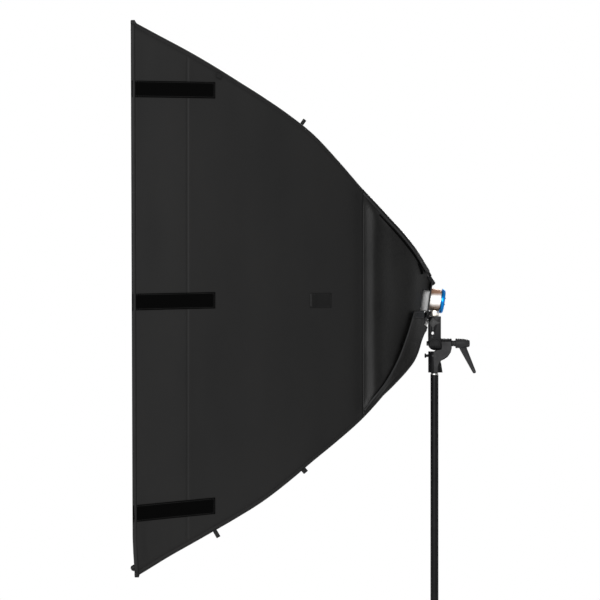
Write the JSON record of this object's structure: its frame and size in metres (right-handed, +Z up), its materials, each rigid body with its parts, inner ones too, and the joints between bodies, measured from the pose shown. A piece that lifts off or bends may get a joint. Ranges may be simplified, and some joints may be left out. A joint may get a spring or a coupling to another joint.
{
  "type": "studio softbox on a light stand",
  "caption": "Rectangular black softbox with white diffusers on a small lamp head, held by a tilting umbrella bracket on a folding light stand.",
  "frame": {"origin": "on the floor, under the middle of the whole object's footprint at rest", "axes": "+Z up; the box's open front faces -X; the stand's column is a little behind the middle, at +X"},
  "size_m": [0.9508, 0.9052, 2.1592],
  "materials": {
    "front_nylon": "matte",
    "rear_nylon": "matte",
    "diffuser_cloth": "matte",
    "rod_fibreglass": "satin",
    "black_plastic": "satin",
    "black_casting": "satin",
    "black_tube": "satin",
    "raw_aluminium": "satin",
    "fin_aluminium": "satin",
    "blue_aluminium": "satin",
    "steel": "satin",
    "black_rubber": "matte",
    "white_ceramic": "satin",
    "frosted_glass": "satin"
  },
  "bodies": {
    "base": {"base_tube": "black_tube", "base_collar": "black_plastic", "brace_hub": "black_plastic"},
    "base_knob": {"base_knob": "black_plastic"},
    "leg_collar": {"leg_collar": "black_plastic"},
    "leg_knob": {"leg_knob": "black_plastic"},
    "leg_1": {"leg_1": "black_tube", "foot_1": "black_rubber"},
    "leg_2": {"leg_2": "black_tube", "foot_2": "black_rubber"},
    "leg_3": {"leg_3": "black_tube", "foot_3": "black_rubber"},
    "brace_1": {"brace_1": "black_tube"},
    "brace_2": {"brace_2": "black_tube"},
    "brace_3": {"brace_3": "black_tube"},
    "mid_column": {"mid_tube": "black_tube", "mid_collar": "black_plastic"},
    "mid_knob": {"mid_knob": "black_plastic"},
    "top_column": {"top_tube": "black_tube", "top_spigot": "steel"},
    "bracket": {"bracket_casting": "black_casting", "pivot_bolt": "steel"},
    "lever": {"clamp_lever": "black_plastic"},
    "lower_screw": {"lower_thumb_screw": "black_casting"},
    "receiver": {"bracket_receiver": "black_casting"},
    "upper_screw": {"upper_wing_screw": "steel"},
    "softbox": {"front_panel_top": "front_nylon", "front_panel_bottom": "front_nylon", "front_panel_left": "front_nylon", "front_panel_right": "front_nylon", "rear_flap_bottom": "rear_nylon", "rear_flap_left": "rear_nylon", "rear_flap_right": "rear_nylon", "front_diffuser": "diffuser_cloth", "inner_baffle": "diffuser_cloth", "rod_top_left": "rod_fibreglass", "rod_top_right": "rod_fibreglass", "rod_bottom_left": "rod_fibreglass", "rod_bottom_right": "rod_fibreglass", "corner_pocket_top_left": "black_plastic", "corner_pocket_top_right": "black_plastic", "corner_pocket_bottom_left": "black_plastic", "corner_pocket_bottom_right": "black_plastic", "speed_ring_plate": "black_casting", "speed_ring": "raw_aluminium", "lamp_housing": "fin_aluminium", "rear_ring": "blue_aluminium", "rear_screw_upper": "steel", "rear_screw_lower": "steel", "mount_stud": "steel", "lamp_socket": "white_ceramic", "lamp_bulb": "frosted_glass"},
    "vent_flap": {"rear_flap_top": "rear_nylon"}
  },
  "joints": [
    {"name": "mid_slide", "type": "slide", "parent": "base", "child": "mid_column", "axis": [0, 0, 1], "range_m": [0, 0.4]},
    {"name": "top_slide", "type": "slide", "parent": "mid_column", "child": "top_column", "axis": [0, 0, 1], "range_m": [-0.46, 0.03]},
    {"name": "pan", "type": "hinge", "parent": "top_column", "child": "bracket", "pos_m": [0.22423, 0, 1.39], "axis": [0, 0, 1], "continuous": true},
    {"name": "tilt", "type": "hinge", "parent": "bracket", "child": "receiver", "pos_m": [0.22423, 0, 1.444], "axis": [1, 0, 0], "range_deg": [-90, 90]},
    {"name": "head_swivel", "type": "hinge", "parent": "receiver", "child": "softbox", "pos_m": [0.22423, 0, 1.5], "axis": [0, 0, -1], "range_deg": [-90, 90]},
    {"name": "vent_open", "type": "hinge", "parent": "softbox", "child": "vent_flap", "pos_m": [0.04323, 0, 1.807], "axis": [0, -1, 0], "range_deg": [0, 60]},
    {"name": "lever_turn", "type": "hinge", "parent": "bracket", "child": "lever", "pos_m": [0.22423, 0, 1.444], "axis": [1, 0, 0], "range_deg": [-60, 120]},
    {"name": "upper_screw_turn", "type": "hinge", "parent": "receiver", "child": "upper_screw", "pos_m": [0.22423, 0, 1.497], "axis": [1, 0, 0], "range_deg": [0, 450]},
    {"name": "lower_screw_turn", "type": "hinge", "parent": "bracket", "child": "lower_screw", "pos_m": [0.22423, 0, 1.414], "axis": [1, 0, 0], "range_deg": [0, 450]},
    {"name": "base_knob_turn", "type": "hinge", "parent": "base", "child": "base_knob", "pos_m": [0.22423, 0, 0.69765], "axis": [1, 0, 0], "range_deg": [0, 270]},
    {"name": "mid_knob_turn", "type": "hinge", "parent": "mid_column", "child": "mid_knob", "pos_m": [0.22423, 0, 0.76515], "axis": [1, 0, 0], "range_deg": [0, 270]},
    {"name": "leg_slide", "type": "slide", "parent": "base", "child": "leg_collar", "axis": [0, 0, 1], "range_m": [0, 0.2506]},
    {"name": "leg_knob_turn", "type": "hinge", "parent": "leg_collar", "child": "leg_knob", "pos_m": [0.22423, 0, 0.3635], "axis": [1, 0, 0], "range_deg": [0, 270]},
    {"name": "leg_1_fold", "type": "hinge", "parent": "leg_collar", "child": "leg_1", "pos_m": [0.19023, 0, 0.3635], "axis": [0, -1, 0], "range_deg": [0, 47.1]},
    {"name": "leg_2_fold", "type": "hinge", "parent": "leg_collar", "child": "leg_2", "pos_m": [0.24123, 0.02944, 0.3635], "axis": [-0.866, 0.5, 0], "range_deg": [0, 47.1]},
    {"name": "leg_3_fold", "type": "hinge", "parent": "leg_collar", "child": "leg_3", "pos_m": [0.24123, -0.02944, 0.3635], "axis": [0.866, 0.5, 0], "range_deg": [0, 47.1]},
    {"name": "brace_1_fold", "type": "hinge", "parent": "leg_1", "child": "brace_1", "pos_m": [-0.03958, 0, 0.17066], "axis": [0, 1, 0], "range_deg": [0, 108]},
    {"name": "brace_2_fold", "type": "hinge", "parent": "leg_2", "child": "brace_2", "pos_m": [0.35614, 0.22847, 0.17066], "axis": [0.866, -0.5, 0], "range_deg": [0, 108]},
    {"name": "brace_3_fold", "type": "hinge", "parent": "leg_3", "child": "brace_3", "pos_m": [0.35614, -0.22847, 0.17066], "axis": [-0.866, -0.5, 0], "range_deg": [0, 108]}
  ],
  "couplings": [
    {"joint": "leg_1_fold", "follows": "leg_slide", "rad_per_m": 3.2734},
    {"joint": "leg_2_fold", "follows": "leg_slide", "rad_per_m": 3.2734},
    {"joint": "leg_3_fold", "follows": "leg_slide", "rad_per_m": 3.2734},
    {"joint": "brace_1_fold", "follows": "leg_slide", "rad_per_m": 7.5051},
    {"joint": "brace_2_fold", "follows": "leg_slide", "rad_per_m": 7.5051},
    {"joint": "brace_3_fold", "follows": "leg_slide", "rad_per_m": 7.5051}
  ]
}
